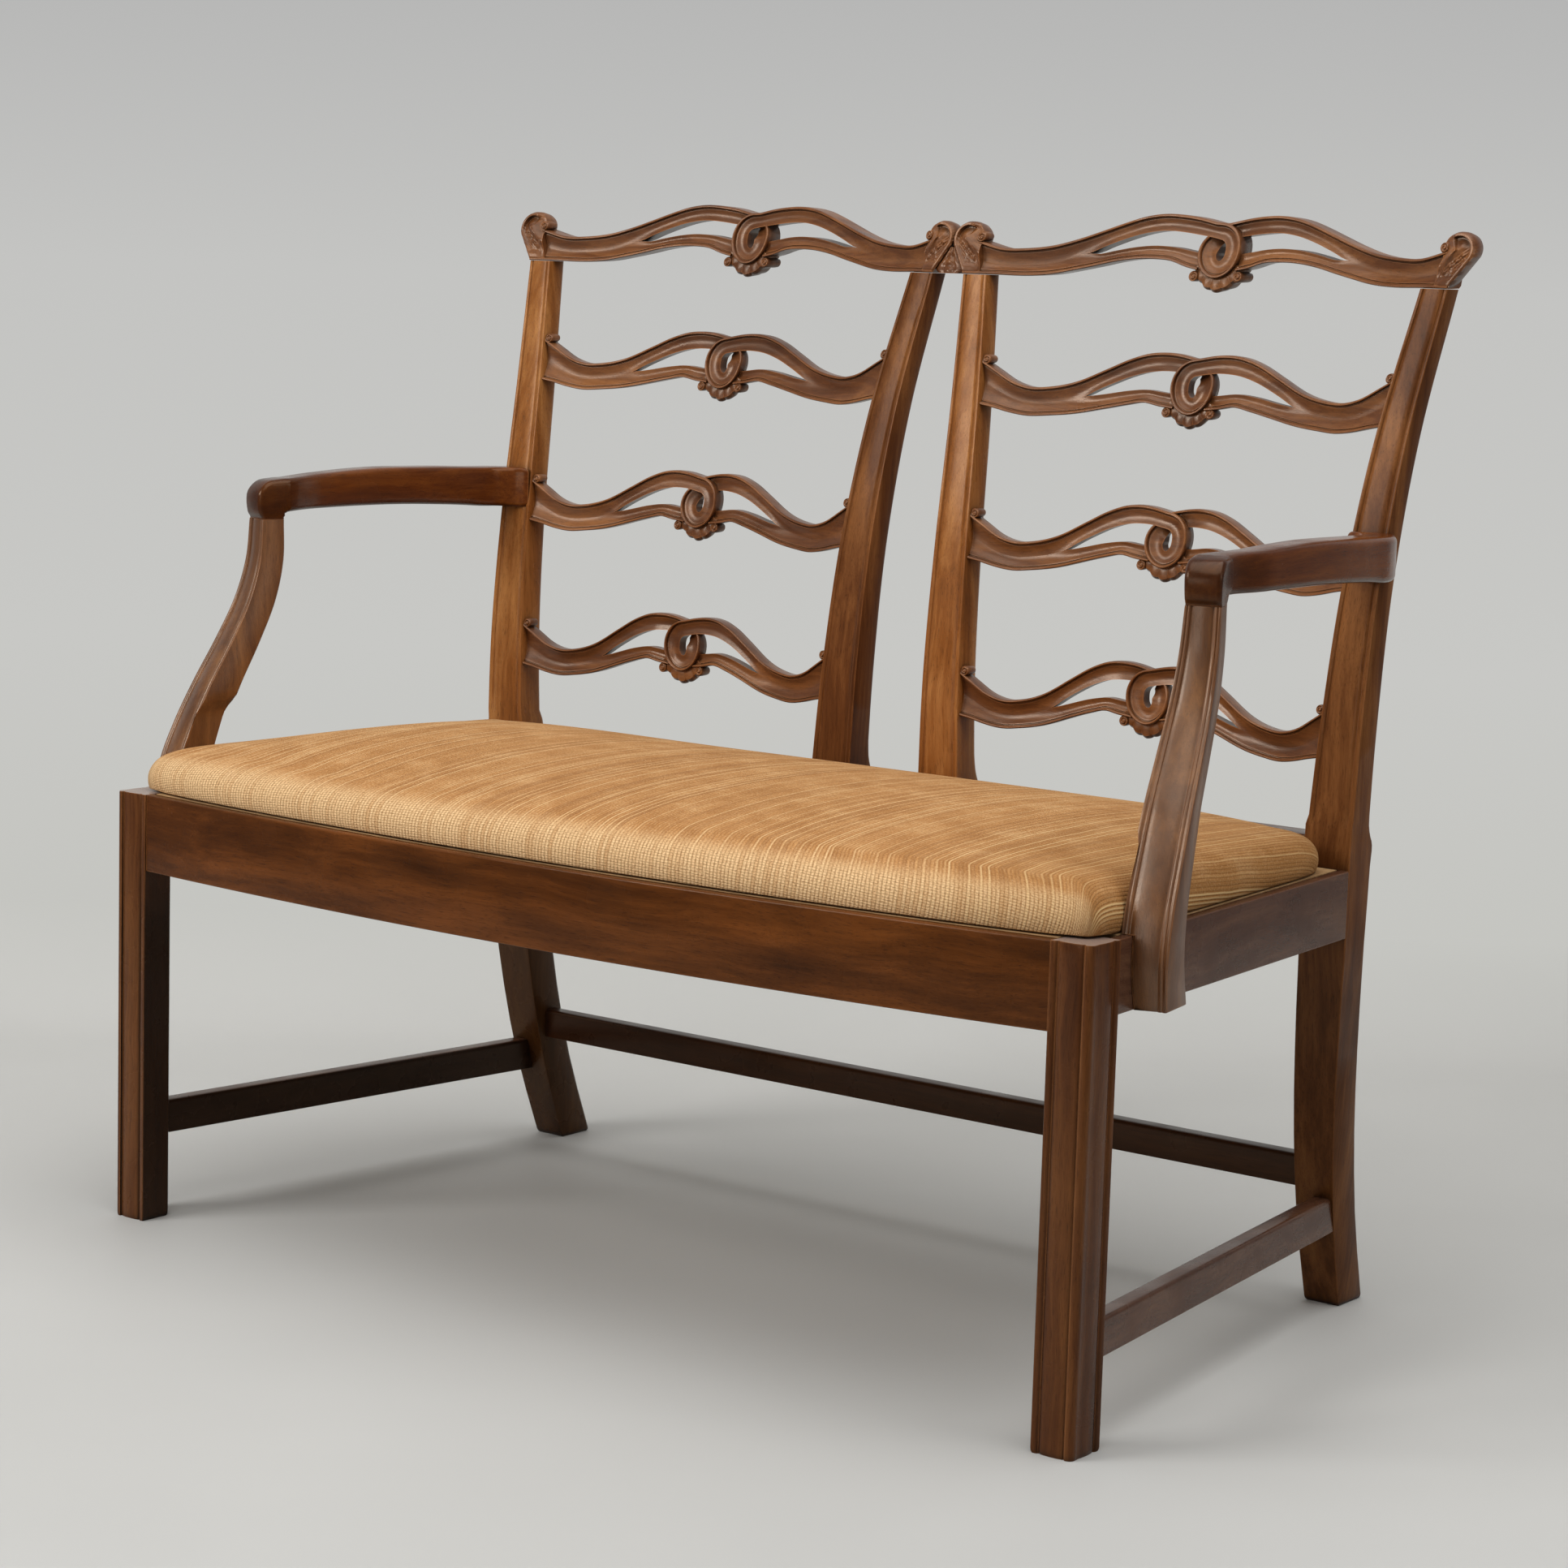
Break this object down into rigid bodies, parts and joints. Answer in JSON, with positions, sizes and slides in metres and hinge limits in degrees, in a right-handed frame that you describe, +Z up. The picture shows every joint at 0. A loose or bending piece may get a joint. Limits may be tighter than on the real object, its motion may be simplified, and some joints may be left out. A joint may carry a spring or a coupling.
{
  "type": "settee",
  "caption": "Open-arm wooden settee with a double ladder back of pierced, interlaced ribbon rails, square moulded front legs and a drop-in upholstered seat.",
  "frame": {"origin": "on the floor, under the middle of the settee's outline in plan", "axes": "+X to the right of someone facing the settee, along its length; -Y to the front; +Z up"},
  "size_m": [1.1812, 0.6798, 1.0097],
  "materials": {
    "mahogany": "old wax and shellac polish, satin, worn paler on the arrises",
    "beech": "sawn and planed, unfinished",
    "seat_velvet": "ribbed velvet in golden tan, fine stripes from front to back",
    "jute_webbing": "coarse plain weave",
    "screw_steel": "old slotted screws, dull"
  },
  "bodies": {
    "frame": {"front_leg_left": "mahogany", "front_leg_right": "mahogany", "back_post_outer_left": "mahogany", "back_post_outer_right": "mahogany", "back_post_inner_left": "mahogany", "back_post_inner_right": "mahogany", "seat_rail_front": "mahogany", "seat_rail_left": "mahogany", "seat_rail_right": "mahogany", "seat_rail_rear": "mahogany", "rear_seat_ledge": "beech", "seat_bearer": "beech", "corner_block_front_left": "beech", "corner_block_front_right": "beech", "corner_block_rear_left": "beech", "corner_block_rear_right": "beech", "stretcher_left": "mahogany", "stretcher_right": "mahogany", "stretcher_rear": "mahogany", "crest_rail_left": "mahogany", "crest_rail_right": "mahogany", "crest_leaf_block": "mahogany", "ladder_rail_left_upper": "mahogany", "ladder_rail_left_middle": "mahogany", "ladder_rail_left_lower": "mahogany", "ladder_rail_right_upper": "mahogany", "ladder_rail_right_middle": "mahogany", "ladder_rail_right_lower": "mahogany", "arm_left": "mahogany", "arm_right": "mahogany", "arm_support_left": "mahogany", "arm_support_right": "mahogany", "support_screw_left_lower": "screw_steel", "support_screw_left_upper": "screw_steel", "support_screw_right_lower": "screw_steel", "support_screw_right_upper": "screw_steel", "arm_screw_left": "screw_steel", "arm_screw_right": "screw_steel"},
    "drop_in_seat": {"seat_frame_front": "beech", "seat_frame_rear": "beech", "seat_frame_left": "beech", "seat_frame_right": "beech", "seat_frame_bar": "beech", "seat_webbing": "jute_webbing", "seat_pad": "seat_velvet"}
  },
  "joints": [
    {"name": "seat_lift", "type": "slide", "parent": "frame", "child": "drop_in_seat", "axis": [0, 0, 1], "range_m": [0, 0.03]}
  ]
}
